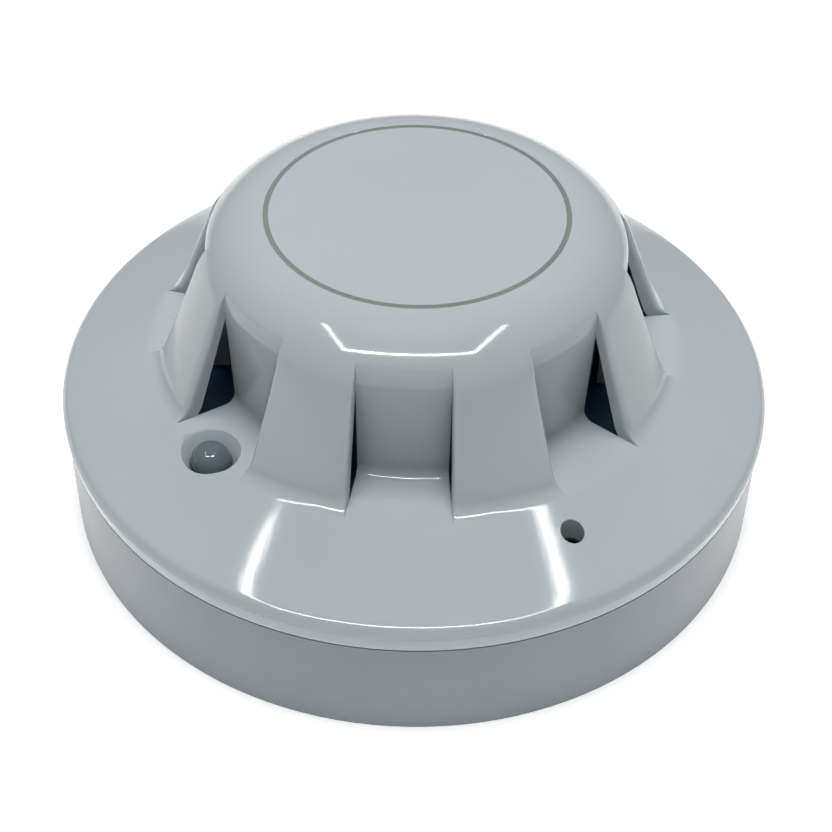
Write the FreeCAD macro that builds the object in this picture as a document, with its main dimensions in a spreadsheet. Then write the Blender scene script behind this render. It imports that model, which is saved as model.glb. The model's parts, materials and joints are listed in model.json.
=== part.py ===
import FreeCAD, Part
import math
import os
import Sketcher

# Point-type heat detector: a twist-off head on a round mounting base.
# Millimetres. Z runs from the mounting face (z = 0) out to the dome.
# Angles are anticlockwise from +X seen from the dome side.

V = FreeCAD.Vector
document = FreeCAD.newDocument("heat_detector")
os.makedirs("parts", exist_ok=True)

SIZES = [
    ("base_radius", 50.0, "outside radius at the mounting face"),
    ("base_top_radius", 49.7, "outside radius at the top of the base wall"),
    ("base_top_z", 15.1, "top of the base wall"),
    ("base_inner_radius", 47.6, "inside of the base wall"),
    ("base_floor", 2.0, "base floor thickness"),
    ("cable_radius", 13.0, "central cable opening"),
    ("slot_spacing", 60.0, "distance between the two fixing slots"),
    ("slot_half_width", 2.2, "half width of a fixing slot"),
    ("slot_run", 6.0, "distance between the end radius centres of a slot"),
    ("top_z", 45.24, "overall height"),
    ("flat_radius", 20.3, "radius of the flat top"),
    ("shoulder_radius", 10.3, "shoulder rounding of the dome"),
    ("flare_angle", 22.0, "hood flare from vertical, degrees"),
    ("skirt_angle", 22.0, "skirt fall from horizontal, degrees"),
    ("foot_r", 35.63, "radius where flare and skirt lines cross"),
    ("foot_z", 24.53, "height where flare and skirt lines cross"),
    ("foot_round", 3.2, "rounding between flare and skirt"),
    ("rim_round", 3.0, "rounding of the cover rim"),
    ("rim_r", 47.0, "centre radius of the rim rounding"),
    ("rim_z", 16.7, "centre height of the rim rounding"),
    ("seam_z", 15.2, "lower edge of the cover"),
    ("rim_inner", 47.4, "inside radius of the cover rim"),
    ("cover_wall", 2.0, "wall thickness of the cover"),
    ("vent_r", 33.7, "outer bottom corner of a side vent, radius"),
    ("vent_z", 23.8, "outer bottom corner of a side vent, height"),
    ("recess_count", 8, "recesses between the hoods"),
    ("recess_wall_r", 28.3, "recess back wall radius at the top"),
    ("recess_foot_r", 27.9, "recess back wall radius at the bottom"),
    ("recess_half", 5.94, "half width of a recess at its back wall"),
    ("recess_splay", 5.9, "splay of each recess side, degrees"),
    ("recess_outer", 40.0, "outer limit of the recess cut"),
    ("recess_floor_z", 23.75, "height of the recess floor"),
    ("recess_corner", 1.5, "rounding between recess wall and floor"),
    ("ring_r", 20.06, "centre radius of the top ring"),
    ("ring_width", 0.66, "width of the top ring"),
    ("ring_depth", 0.3, "depth of the ring groove"),
    ("led_r", 35.85, "radius of the indicator"),
    ("led_angle", 225.0, "angle of the indicator"),
    ("led_well", 2.8, "indicator well radius at the bottom of its dish"),
    ("led_mouth", 4.05, "indicator dish radius at the recess floor"),
    ("led_dish", 2.0, "depth of the indicator dish"),
    ("pipe_radius", 2.6, "light pipe radius"),
    ("pipe_top_z", 24.7, "top of the light pipe"),
    ("lock_r", 41.2, "radius of the locking screw"),
    ("lock_angle", 302.0, "angle of the locking screw"),
    ("lock_bore", 1.5, "locking screw bore radius"),
    ("lock_screw", 1.42, "locking screw thread radius"),
    ("lock_length", 10.0, "locking screw length"),
    ("lock_tip_z", 9.9, "locking screw tip height when backed off"),
    ("lock_pad_z", 7.3, "top of the base pad under the locking screw"),
    ("lock_foot_z", 8.9, "lower face of the soft tip when backed off"),
    ("chassis_r", 44.0, "outside radius of the chassis drum"),
    ("chassis_wall", 2.0, "chassis wall thickness"),
    ("chassis_z", 11.2, "underside of the chassis floor"),
    ("drum_z", 8.6, "lower edge of the chassis drum"),
    ("flange_r", 47.0, "chassis flange radius"),
    ("flange_z", 15.4, "underside of the chassis flange"),
    ("flange_top", 17.0, "top of the chassis flange"),
    ("tab_r", 46.9, "reach of the bayonet tabs"),
    ("tab_thick", 1.8, "thickness of the bayonet tabs"),
    ("tab_span", 12.0, "angle taken by a bayonet tab"),
    ("lug_r", 44.7, "inner reach of the base lugs"),
    ("lug_gap", 0.15, "height gap between tab and lug"),
    ("lug_thick", 2.15, "thickness of the base lugs"),
    ("lug_span", 13.0, "angle taken by a base lug"),
    ("stop_span", 2.0, "angle taken by an end stop"),
    ("twist", 15.0, "turn that frees the head, degrees"),
    ("stop_play", 0.5, "play at the end stops, degrees"),
    ("terminal_r", 33.0, "radius of the terminal screws"),
    ("strip_in", 19.0, "inner end of a terminal strip"),
    ("strip_out", 38.5, "outer end of a terminal strip"),
    ("strip_half", 4.5, "half width of a terminal strip"),
    ("strip_thick", 0.8, "terminal strip thickness"),
    ("block_z", 4.5, "top of the terminal blocks"),
    ("clamp_half", 4.0, "half width of a clamp plate"),
    ("clamp_thick", 1.0, "clamp plate thickness"),
    ("thread", 1.75, "terminal screw thread radius"),
    ("board_r", 38.5, "circuit board radius"),
    ("board_z", 15.0, "underside of the circuit board"),
    ("board_thick", 1.6, "circuit board thickness"),
    ("boss_r", 39.0, "radius of the cover fixing screws"),
    ("boss", 2.5, "cover fixing boss radius"),
    ("post_r", 30.0, "radius of the board posts"),
    ("pin_r", 14.0, "radius of the contact pins"),
    ("pin", 1.1, "contact pin radius"),
    ("guard_r", 25.6, "sensor guard outside radius"),
    ("guard_wall", 1.8, "sensor guard wall"),
    ("guard_z", 19.8, "underside of the guard flange"),
    ("guard_top", 40.5, "top of the sensor guard"),
    ("guard_flange", 36.0, "radius of the guard flange"),
]

sheet = document.addObject("Spreadsheet::Sheet", "dims")
for row, (alias, number, note) in enumerate(SIZES, start=1):
    sheet.set("A%d" % row, note)
    sheet.set("B%d" % row, str(number))
    sheet.setAlias("B%d" % row, alias)
document.recompute()

FULL_TURN = 360
BAYONET_ANGLES = (20, 140, 250)
TERMINAL_ANGLES = (45, 135, 225, 315)
BOSS_ANGLES = (90, 210, 330)
POST_ANGLES = (60, 180, 300)
LEG_ANGLES = (0, 120, 240)


def named(formula):
    """Swap every #alias in a formula for its sheet cell."""
    return formula.replace("#", "dims.")


def value(formula):
    """Present value of a formula, read from the sheet."""
    return float(sketch_reader.evalExpression(named(formula)))


sketch_reader = document.addObject("Part::Box", "formula_reader")


def polar(radius, angle):
    """Formulas for the X and Y of a point given by radius and angle formulas."""
    return "(%s)*cos(%s)" % (radius, angle), "(%s)*sin(%s)" % (radius, angle)


def new_body(name):
    body = document.addObject("PartDesign::Body", name)
    body.Label = name
    return body


def origin_feature(body, role):
    for feature in body.Origin.OriginFeatures:
        if feature.Role == role:
            return feature
    raise ValueError(role)


def new_sketch(body, name, plane="XY_Plane", lift=None):
    sketch = body.newObject("Sketcher::SketchObject", body.Name + "_" + name)
    sketch.AttachmentSupport = (origin_feature(body, plane), [""])
    sketch.MapMode = "FlatFace"
    if lift:
        sketch.setExpression("AttachmentOffset.Base.z", named(lift))
    return sketch


def bind(sketch, constraint, formula):
    number = sketch.addConstraint(constraint)
    sketch.setExpression("Constraints[%d]" % number, named(formula))


def pin_point(sketch, edge, end, x, y):
    """Hold one point of an edge at the formulas x, y."""
    if x == "0":
        sketch.addConstraint(Sketcher.Constraint("PointOnObject", edge, end, -2))
    else:
        bind(sketch, Sketcher.Constraint("DistanceX", -1, 1, edge, end, value(x)), x)
    if y == "0":
        sketch.addConstraint(Sketcher.Constraint("PointOnObject", edge, end, -1))
    else:
        bind(sketch, Sketcher.Constraint("DistanceY", -1, 1, edge, end, value(y)), y)


def outline(sketch, corners):
    """Closed loop. A corner is (x, y) for a line to it, or (x, y, radius, side)
    for an arc to it; side 1 puts the arc centre left of travel, -1 right."""
    points = [V(value(corner[0]), value(corner[1]), 0) for corner in corners]
    edges = []
    for index, corner in enumerate(corners):
        start = points[index - 1]
        finish = points[index]
        if len(corner) == 2:
            edge = sketch.addGeometry(Part.LineSegment(start, finish), False)
            edges.append((edge, 1, 2))
            continue
        radius = value(corner[2])
        chord = finish - start
        middle = (start + finish) * 0.5
        left = V(-chord.y, chord.x, 0).normalize()
        reach = math.sqrt(max(radius ** 2 - (chord.Length / 2) ** 2, 0))
        centre = middle + left * (corner[3] * reach)
        # sketch arcs run anticlockwise, so an arc with its centre on the right is entered backwards
        first, last = (start, finish) if corner[3] > 0 else (finish, start)
        first_angle = math.atan2(first.y - centre.y, first.x - centre.x)
        last_angle = math.atan2(last.y - centre.y, last.x - centre.x)
        if last_angle < first_angle:
            last_angle += 2 * math.pi
        ring = Part.Circle(centre, V(0, 0, 1), radius)
        edge = sketch.addGeometry(Part.ArcOfCircle(ring, first_angle, last_angle), False)
        forward = corner[3] > 0
        edges.append((edge, 1, 2) if forward else (edge, 2, 1))
    for index, corner in enumerate(corners):
        edge, begin, end = edges[index]
        following, next_begin, _ = edges[(index + 1) % len(corners)]
        sketch.addConstraint(Sketcher.Constraint("Coincident", edge, end, following, next_begin))
        pin_point(sketch, edge, end, corner[0], corner[1])
    for index, corner in enumerate(corners):
        if len(corner) == 4:
            bind(sketch, Sketcher.Constraint("Radius", edges[index][0], value(corner[2])), corner[2])


def circle(sketch, x, y, radius):
    shape = Part.Circle(V(value(x), value(y), 0), V(0, 0, 1), value(radius))
    edge = sketch.addGeometry(shape, False)
    pin_point(sketch, edge, 3, x, y)
    bind(sketch, Sketcher.Constraint("Radius", edge, value(radius)), radius)


def rectangle(sketch, x_low, y_low, x_high, y_high):
    outline(sketch, [(x_low, y_low), (x_high, y_low), (x_high, y_high), (x_low, y_high)])


def sector(sketch, inner, outer, low, high):
    """Ring sector between two radii and two angles."""
    outline(sketch, [
        polar(inner, low) + (inner, -1),
        polar(outer, low),
        polar(outer, high) + (outer, 1),
        polar(inner, high),
    ])


def revolve(body, sketch, name):
    feature = body.newObject("PartDesign::Revolution", body.Name + "_" + name)
    feature.Profile = sketch
    feature.ReferenceAxis = (sketch, ["V_Axis"])
    feature.Angle = FULL_TURN
    document.recompute()
    return feature


def extrude(body, sketch, name, length, both_ways=False):
    feature = body.newObject("PartDesign::Pad", body.Name + "_" + name)
    feature.Profile = sketch
    feature.setExpression("Length", named(length))
    if both_ways:
        feature.SideType = "Symmetric"
    document.recompute()
    return feature


def cut_down(body, sketch, name, depth):
    """Cut from the sketch against its normal, and make sure that it cuts."""
    before = body.Shape.Volume
    feature = body.newObject("PartDesign::Pocket", body.Name + "_" + name)
    feature.Profile = sketch
    feature.setExpression("Length", named(depth))
    document.recompute()
    if body.Shape.Volume >= before - 1e-6:
        raise RuntimeError("nothing cut by " + name)
    return feature


def repeat(body, feature, name, count):
    pattern = body.newObject("PartDesign::PolarPattern", body.Name + "_" + name)
    pattern.Originals = [feature]
    pattern.Axis = (origin_feature(body, "Z_Axis"), [""])
    pattern.Angle = FULL_TURN
    pattern.setExpression("Occurrences", named(count))
    body.Tip = pattern
    document.recompute()
    return pattern


def place(item, x="0", y="0", z="0", turn=None):
    """Drive the placement of an item by formulas; turn is about Z in degrees."""
    if turn:
        item.Placement = FreeCAD.Placement(V(0, 0, 0), FreeCAD.Rotation(V(0, 0, 1), 45))
        item.setExpression("Placement.Rotation.Angle", named(turn))
    for axis, formula in (("x", x), ("y", y), ("z", z)):
        item.setExpression("Placement.Base." + axis, named(formula))


def cylinder(name, radius, low, high, x="0", y="0"):
    item = document.addObject("Part::Cylinder", name)
    item.setExpression("Radius", named(radius))
    item.setExpression("Height", named("(%s)-(%s)" % (high, low)))
    place(item, x, y, low)
    return item


def cone(name, low_radius, high_radius, low, high, x="0", y="0"):
    item = document.addObject("Part::Cone", name)
    item.setExpression("Radius1", named(low_radius))
    item.setExpression("Radius2", named(high_radius))
    item.setExpression("Height", named("(%s)-(%s)" % (high, low)))
    place(item, x, y, low)
    return item


def block(name, long, wide, tall, x, y, z):
    """Box centred on x, y and standing on z."""
    item = document.addObject("Part::Box", name)
    item.setExpression("Length", long)
    item.setExpression("Width", wide)
    item.setExpression("Height", tall)
    place(item, "%s-(%s)/2" % (x, long), "%s-(%s)/2" % (y, wide), z)
    return item


def fuse(name, items):
    joined = document.addObject("Part::MultiFuse", name)
    joined.Shapes = items
    joined.Refine = True
    return joined


def cut(name, base, tool):
    result = document.addObject("Part::Cut", name)
    result.Base = base
    result.Tool = tool
    result.Refine = True
    return result


finished = []


def finish(item, name):
    item.Label = name
    finished.append((item, name))


# ---------------------------------------------------------------- mounting base
base = new_body("mounting_base")
profile = new_sketch(base, "section", "XZ_Plane")
outline(profile, [
    ("#cable_radius", "0"),
    ("#base_radius", "0"),
    ("#base_top_radius", "#base_top_z"),
    ("#base_inner_radius", "#base_top_z"),
    ("#base_inner_radius", "#base_floor"),
    ("#cable_radius", "#base_floor"),
])
revolve(base, profile, "ring")

blocks = new_sketch(base, "block", lift="#base_floor")
rectangle(blocks, "#strip_in-0.5", "-#strip_half-0.5", "#strip_out+0.5", "#strip_half+0.5")
block_pad = extrude(base, blocks, "block_pad", "#block_z-#base_floor")
document.recompute()
# the first block lies on +X, so the pattern starts from a turned copy
blocks.AttachmentOffset = FreeCAD.Placement(V(0, 0, 0), FreeCAD.Rotation(V(0, 0, 1), TERMINAL_ANGLES[0]))
blocks.setExpression("AttachmentOffset.Base.z", named("#base_floor"))
repeat(base, block_pad, "block_ring", str(len(TERMINAL_ANGLES)))

holes = new_sketch(base, "screw_holes", lift="#block_z")
for angle in TERMINAL_ANGLES:
    circle(holes, *polar("#terminal_r", str(angle)), "#thread+0.45")
cut_down(base, holes, "screw_hole_cut", "#block_z-0.8")

lock_pad = new_sketch(base, "lock_pad", lift="#base_floor")
circle(lock_pad, *polar("#lock_r", "#lock_angle"), "3")
extrude(base, lock_pad, "lock_pad_pad", "#lock_pad_z-#base_floor")

LUG_LOW = "(#drum_z+#tab_thick+#lug_gap)"
LUG_ROOT = "#base_inner_radius+0.6"
lugs = new_sketch(base, "lugs", lift=LUG_LOW)
stops = new_sketch(base, "stops", lift="#drum_z-1")
for angle in BAYONET_ANGLES:
    locked_stop = "%d-#tab_span/2-#stop_play" % angle
    open_stop = "%d+#tab_span/2+#twist+#stop_play" % angle
    sector(lugs, "#lug_r", LUG_ROOT, locked_stop, "%d+#lug_span/2" % angle)
    sector(stops, "#lug_r", LUG_ROOT, locked_stop + "-#stop_span", locked_stop)
    sector(stops, "#lug_r", LUG_ROOT, open_stop, open_stop + "+#stop_span")
extrude(base, lugs, "lug_pad", "#lug_thick")
extrude(base, stops, "stop_pad", "1+#tab_thick+#lug_gap+#lug_thick")

slots = new_sketch(base, "slots", lift="#base_floor")
for side in ("-1", "1"):
    near = "(%s)*#slot_spacing/2-#slot_run/2" % side
    far = "(%s)*#slot_spacing/2+#slot_run/2" % side
    outline(slots, [
        (near + "-#slot_half_width", "0", "#slot_half_width", 1),
        (near, "-#slot_half_width", "#slot_half_width", 1),
        (far, "-#slot_half_width"),
        (far + "+#slot_half_width", "0", "#slot_half_width", 1),
        (far, "#slot_half_width", "#slot_half_width", 1),
        (near, "#slot_half_width"),
    ])
cut_down(base, slots, "slot_cut", "#base_floor")
finish(base, "mounting_base")

# ------------------------------------------------------------ terminals and wipers
PLATE_TOP = "#block_z+#strip_thick"
CLAMP_GAP = 0.05
for index, angle in enumerate(TERMINAL_ANGLES, start=1):
    plate = new_body("terminal_plate_%d" % index)
    flat = new_sketch(plate, "strip", lift="#block_z")
    rectangle(flat, "#strip_in", "-#strip_half", "#strip_out", "#strip_half")
    extrude(plate, flat, "strip_pad", "#strip_thick")
    tapped = new_sketch(plate, "tapped", lift=PLATE_TOP)
    circle(tapped, "#terminal_r", "0", "#thread+0.05")
    cut_down(plate, tapped, "tapped_cut", "#strip_thick")
    place(plate, turn=str(angle))
    finish(plate, plate.Name)

    clamp = new_body("terminal_clamp_%d" % index)
    square = new_sketch(clamp, "square", lift=PLATE_TOP + "+%g" % CLAMP_GAP)
    rectangle(square, "#terminal_r-#clamp_half", "-#clamp_half",
              "#terminal_r+#clamp_half", "#clamp_half")
    extrude(clamp, square, "square_pad", "#clamp_thick")
    eye = new_sketch(clamp, "eye", lift=PLATE_TOP + "+#clamp_thick+%g" % CLAMP_GAP)
    circle(eye, "#terminal_r", "0", "#thread+0.1")
    cut_down(clamp, eye, "eye_cut", "#clamp_thick")
    place(clamp, turn=str(angle))
    finish(clamp, clamp.Name)

    screw = new_body("terminal_screw_%d" % index)
    head_low = PLATE_TOP + "+#clamp_thick+2*%g" % CLAMP_GAP
    shape = new_sketch(screw, "section", "XZ_Plane")
    outline(shape, [
        ("0", "1.6"),
        ("#thread-0.4", "1.6"),
        ("#thread", "2"),
        ("#thread", head_low),
        ("3.4", head_low),
        ("3.4", head_low + "+1.4"),
        ("2.8", head_low + "+2"),
        ("0", head_low + "+2"),
    ])
    revolve(screw, shape, "turned")
    drive = new_sketch(screw, "drive", lift=head_low + "+2")
    rectangle(drive, "-2.4", "-0.45", "2.4", "0.45")
    cut_down(screw, drive, "drive_cut", "1.1")
    x, y = polar("#terminal_r", str(angle))
    place(screw, x, y)
    finish(screw, screw.Name)

    wiper = new_body("wiper_contact_%d" % index)
    bent = new_sketch(wiper, "strip", "XZ_Plane")
    touch = PLATE_TOP + "+0.1"
    outline(bent, [
        ("10", "#chassis_z"),
        ("10", "#chassis_z-0.4"),
        ("17", "#chassis_z-0.4"),
        ("22", touch),
        ("23", touch),
        ("25", touch + "+1.6"),
        ("25", touch + "+2.1"),
        ("22.8", touch + "+0.4"),
        ("22.2", touch + "+0.4"),
        ("17.2", "#chassis_z"),
    ])
    extrude(wiper, bent, "strip_pad", "5", both_ways=True)
    opening = new_sketch(wiper, "eye", lift="#chassis_z")
    circle(opening, "#pin_r", "0", "#pin+0.05")
    cut_down(wiper, opening, "eye_cut", "0.4")
    place(wiper, turn=str(angle))
    finish(wiper, wiper.Name)

    contact = new_body("contact_pin_%d" % index)
    shape = new_sketch(contact, "section", "XZ_Plane")
    outline(shape, [
        ("0", "#chassis_z-1.2"),
        ("1.6", "#chassis_z-1.2"),
        ("2.1", "#chassis_z-0.9"),
        ("2.1", "#chassis_z-0.4"),
        ("#pin", "#chassis_z-0.4"),
        ("#pin", "#board_z+#board_thick+0.8"),
        ("0", "#board_z+#board_thick+0.8"),
    ])
    revolve(contact, shape, "turned")
    x, y = polar("#pin_r", str(angle))
    place(contact, x, y)
    finish(contact, contact.Name)

# ------------------------------------------------------------------- cover shell
HALF_TURN = "(90-#flare_angle-#skirt_angle)/2"
FOOT_TANGENT = "#foot_round*tan(%s)" % HALF_TURN
SKIRT_R = "#rim_r+#rim_round*sin(#skirt_angle)"
SKIRT_Z = "#rim_z+#rim_round*cos(#skirt_angle)"
SHOULDER_Z = "(#top_z-#shoulder_radius)"


def under_skirt(radius):
    """Height of the inner skirt face at a radius."""
    return "%s+(%s-(%s))*tan(#skirt_angle)-#cover_wall/cos(#skirt_angle)" % (SKIRT_Z, SKIRT_R, radius)


shell = new_body("cover_shell")
profile = new_sketch(shell, "section", "XZ_Plane")
outline(profile, [
    ("0", "#top_z"),
    ("#flat_radius", "#top_z"),
    ("#flat_radius+#shoulder_radius*cos(#flare_angle)",
     SHOULDER_Z + "+#shoulder_radius*sin(#flare_angle)", "#shoulder_radius", -1),
    ("#foot_r-sin(#flare_angle)*" + FOOT_TANGENT, "#foot_z+cos(#flare_angle)*" + FOOT_TANGENT),
    ("#foot_r+cos(#skirt_angle)*" + FOOT_TANGENT,
     "#foot_z-sin(#skirt_angle)*" + FOOT_TANGENT, "#foot_round", 1),
    (SKIRT_R, SKIRT_Z),
    ("#rim_r+sqrt(#rim_round^2-(#rim_z-#seam_z)^2)", "#seam_z", "#rim_round", -1),
    ("#rim_inner", "#seam_z"),
    ("#rim_inner", under_skirt("#rim_inner")),
    ("36.2", under_skirt("36.2")),
    ("#vent_r", "#vent_z"),
    ("#vent_r-1.6", "#vent_z+3.5"),
    ("#flat_radius+(#shoulder_radius-#cover_wall)*cos(#flare_angle)",
     SHOULDER_Z + "+(#shoulder_radius-#cover_wall)*sin(#flare_angle)"),
    ("#flat_radius", "#top_z-#cover_wall", "#shoulder_radius-#cover_wall", 1),
    ("0", "#top_z-#cover_wall"),
])
revolve(shell, profile, "lathe")

RECESS_IN = "sqrt(#recess_wall_r^2-#recess_half^2)"


def recess_width(reach):
    """Half width of a recess at a distance along its centre line."""
    return "(#recess_half+((%s)-%s)*tan(#recess_splay))" % (reach, RECESS_IN)


recess = new_sketch(shell, "recess", lift="#top_z+1")
outline(recess, [
    ("-#recess_half", "-" + RECESS_IN, "#recess_wall_r", -1),
    ("-" + recess_width("#recess_outer"), "-#recess_outer"),
    (recess_width("#recess_outer"), "-#recess_outer"),
    ("#recess_half", "-" + RECESS_IN),
])
recess_cut = cut_down(shell, recess, "recess_cut", "#top_z+1-#recess_floor_z")
repeat(shell, recess_cut, "recess_ring", "#recess_count")

# back wall and floor of the recesses, left only between the hoods
liner = new_body("recess_liner")
profile = new_sketch(liner, "section", "XZ_Plane")
WALL_BACK = "#recess_wall_r-#cover_wall"
outline(profile, [
    (WALL_BACK, "#recess_floor_z-#cover_wall"),
    ("37.5", "#recess_floor_z-#cover_wall"),
    ("37.5", "#recess_floor_z"),
    ("#recess_foot_r+#recess_corner", "#recess_floor_z"),
    ("#recess_foot_r", "#recess_floor_z+#recess_corner", "#recess_corner", -1),
    ("#recess_wall_r", "#top_z-4.4"),
    (WALL_BACK, "#top_z-4.4"),
])
revolve(liner, profile, "lathe")
NEAR = "24"
FAR = "39"
spoke = new_sketch(liner, "hood_gap", lift="#top_z+1")
STEP = "(360/#recess_count)"
outline(spoke, [
    (recess_width(NEAR), "-" + NEAR),
    (recess_width(FAR), "-" + FAR),
    ("%s*sin(%s)-%s*cos(%s)" % (FAR, STEP, recess_width(FAR), STEP),
     "-%s*cos(%s)-%s*sin(%s)" % (FAR, STEP, recess_width(FAR), STEP)),
    ("%s*sin(%s)-%s*cos(%s)" % (NEAR, STEP, recess_width(NEAR), STEP),
     "-%s*cos(%s)-%s*sin(%s)" % (NEAR, STEP, recess_width(NEAR), STEP)),
])
spoke_cut = cut_down(liner, spoke, "hood_gap_cut", "#top_z+1-15")
repeat(liner, spoke_cut, "hood_gap_ring", "#recess_count")

led_x, led_y = polar("#led_r", "#led_angle")
lock_x, lock_y = polar("#lock_r", "#lock_angle")
WELL_WALL = "#led_mouth+0.75"
DISH_LOW = "#recess_floor_z-#led_dish"
# the dish cutter runs on above the floor by a fifth of its depth
DISH_TOP = "#recess_floor_z+#led_dish*0.2"
DISH_TOP_RADIUS = "#led_mouth+(#led_mouth-#led_well)*0.2"
additions = [
    shell,
    liner,
    cylinder("led_well_wall", WELL_WALL, "18.4", "22.2", led_x, led_y),
    cylinder("lock_guide", "3", "#flange_top+0.1", "20.9", lock_x, lock_y),
]
removals = [
    cylinder("led_well_cut", "#led_well", "19.4", DISH_LOW, led_x, led_y),
    cone("led_dish_cut", "#led_well", DISH_TOP_RADIUS, DISH_LOW, DISH_TOP, led_x, led_y),
    cylinder("pipe_cut", "#pipe_radius+0.05", "18", "20", led_x, led_y),
    cylinder("lock_bore_cut", "#lock_bore", "#flange_top", "26", lock_x, lock_y),
]
for angle in BOSS_ANGLES:
    x, y = polar("#boss_r", str(angle))
    additions.append(cylinder("cover_boss_%d" % angle, "#boss", "#chassis_z+2.1", "21.8", x, y))
    removals.append(cylinder("boss_pilot_%d" % angle, "1.25", "#chassis_z+2", "20.4", x, y))
groove_outer = cylinder("groove_outer", "#ring_r+#ring_width/2", "#top_z-#ring_depth", "#top_z+1")
groove_inner = cylinder("groove_inner", "#ring_r-#ring_width/2", "#top_z-#ring_depth", "#top_z+1")
removals.append(cut("groove", groove_outer, groove_inner))
cover_solid = fuse("cover_solid", additions)
cover = cut("cover_body", cover_solid, fuse("cover_removals", removals))
document.recompute()
finish(cover, "head_cover")

ring = new_body("top_ring")
profile = new_sketch(ring, "section", "XZ_Plane")
rectangle(profile, "#ring_r-#ring_width/2", "#top_z-#ring_depth", "#ring_r+#ring_width/2", "#top_z")
revolve(ring, profile, "lathe")
finish(ring, "top_ring")

# ---------------------------------------------------------------------- chassis
chassis = new_body("head_chassis")
profile = new_sketch(chassis, "section", "XZ_Plane")
DRUM_IN = "#chassis_r-#chassis_wall"
FLOOR_TOP = "#chassis_z+2"
outline(profile, [
    ("0", "#chassis_z"),
    (DRUM_IN, "#chassis_z"),
    (DRUM_IN, "#drum_z"),
    ("#chassis_r", "#drum_z"),
    ("#chassis_r", "#flange_z"),
    ("#flange_r", "#flange_z"),
    ("#flange_r", "#flange_top"),
    (DRUM_IN, "#flange_top"),
    (DRUM_IN, FLOOR_TOP),
    ("0", FLOOR_TOP),
])
revolve(chassis, profile, "lathe")
tabs = new_sketch(chassis, "tabs", lift="#drum_z")
for angle in BAYONET_ANGLES:
    sector(tabs, "#chassis_r-0.6", "#tab_r", "%d-#tab_span/2" % angle, "%d+#tab_span/2" % angle)
extrude(chassis, tabs, "tab_pad", "#tab_thick")
posts = new_sketch(chassis, "posts", lift="#chassis_z+1")
for angle in POST_ANGLES:
    circle(posts, *polar("#post_r", str(angle)), "2.2")
extrude(chassis, posts, "post_pad", "#board_z-#chassis_z-1")
boss = new_sketch(chassis, "lock_boss", lift="#chassis_z")
circle(boss, lock_x, lock_y, "3.2")
extrude(chassis, boss, "lock_boss_pad", "#flange_top-#chassis_z")
bores = new_sketch(chassis, "insert_bore", lift="#flange_top")
circle(bores, lock_x, lock_y, "2.2")
cut_down(chassis, bores, "insert_bore_cut", "#flange_top-12.2")
through = new_sketch(chassis, "through", lift="12.2")
circle(through, lock_x, lock_y, "#lock_bore")
cut_down(chassis, through, "through_cut", "4")
small = new_sketch(chassis, "small_holes", lift=FLOOR_TOP)
for angle in TERMINAL_ANGLES:
    circle(small, *polar("#pin_r", str(angle)), "#pin+0.05")
for angle in BOSS_ANGLES:
    circle(small, *polar("#boss_r", str(angle)), "1.3")
cut_down(chassis, small, "small_hole_cut", "2")
sinks = new_sketch(chassis, "sinks", lift="#chassis_z+1.2")
for angle in BOSS_ANGLES:
    circle(sinks, *polar("#boss_r", str(angle)), "2.8")
cut_down(chassis, sinks, "sink_cut", "1.2")
pilots = new_sketch(chassis, "post_pilots", lift="#board_z")
for angle in POST_ANGLES:
    circle(pilots, *polar("#post_r", str(angle)), "1")
cut_down(chassis, pilots, "post_pilot_cut", "3")
finish(chassis, "head_chassis")

seal = new_body("seal_ring")
profile = new_sketch(seal, "section", "XZ_Plane")
rectangle(profile, "44.2", "#flange_top", "46.2", "#flange_top+1")
revolve(seal, profile, "lathe")
finish(seal, "seal_ring")

insert = new_body("lock_insert")
profile = new_sketch(insert, "section", "XZ_Plane")
rectangle(profile, "#lock_bore", "12.2", "2.2", "#flange_top")
revolve(insert, profile, "lathe")
place(insert, lock_x, lock_y)
finish(insert, "lock_insert")

lock = new_body("locking_screw")
profile = new_sketch(lock, "section", "XZ_Plane")
LOCK_TOP = "#lock_tip_z+#lock_length"
outline(profile, [
    ("0", "#lock_tip_z"),
    ("#lock_screw-0.6", "#lock_tip_z"),
    ("#lock_screw", "#lock_tip_z+0.6"),
    ("#lock_screw", LOCK_TOP + "-0.3"),
    ("#lock_screw-0.3", LOCK_TOP),
    ("0", LOCK_TOP),
])
revolve(lock, profile, "turned")
socket = new_sketch(lock, "socket", lift=LOCK_TOP)
outline(socket, [("0.866", "0")] + [polar("0.866", str(60 * side)) for side in range(1, 6)])
cut_down(lock, socket, "socket_cut", "1.6")
place(lock, lock_x, lock_y)
finish(lock, "locking_screw")
finish(cylinder("soft_tip", "1.2", "#lock_foot_z", "#lock_tip_z-0.05", lock_x, lock_y), "lock_tip")

for index, angle in enumerate(BOSS_ANGLES, start=1):
    screw = new_body("cover_screw_%d" % index)
    profile = new_sketch(screw, "section", "XZ_Plane")
    outline(profile, [
        ("0", "#chassis_z+0.1"),
        ("2.2", "#chassis_z+0.1"),
        ("2.5", "#chassis_z+0.4"),
        ("2.5", "#chassis_z+1.2"),
        ("1.2", "#chassis_z+1.2"),
        ("1.2", "19.6"),
        ("0.4", "20.3"),
        ("0", "20.3"),
    ])
    revolve(screw, profile, "turned")
    drive = new_sketch(screw, "drive", lift="#chassis_z+0.8")
    rectangle(drive, "-1.8", "-0.35", "1.8", "0.35")
    cut_down(screw, drive, "drive_cut", "0.8")
    place(screw, *polar("#boss_r", str(angle)))
    finish(screw, screw.Name)

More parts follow.
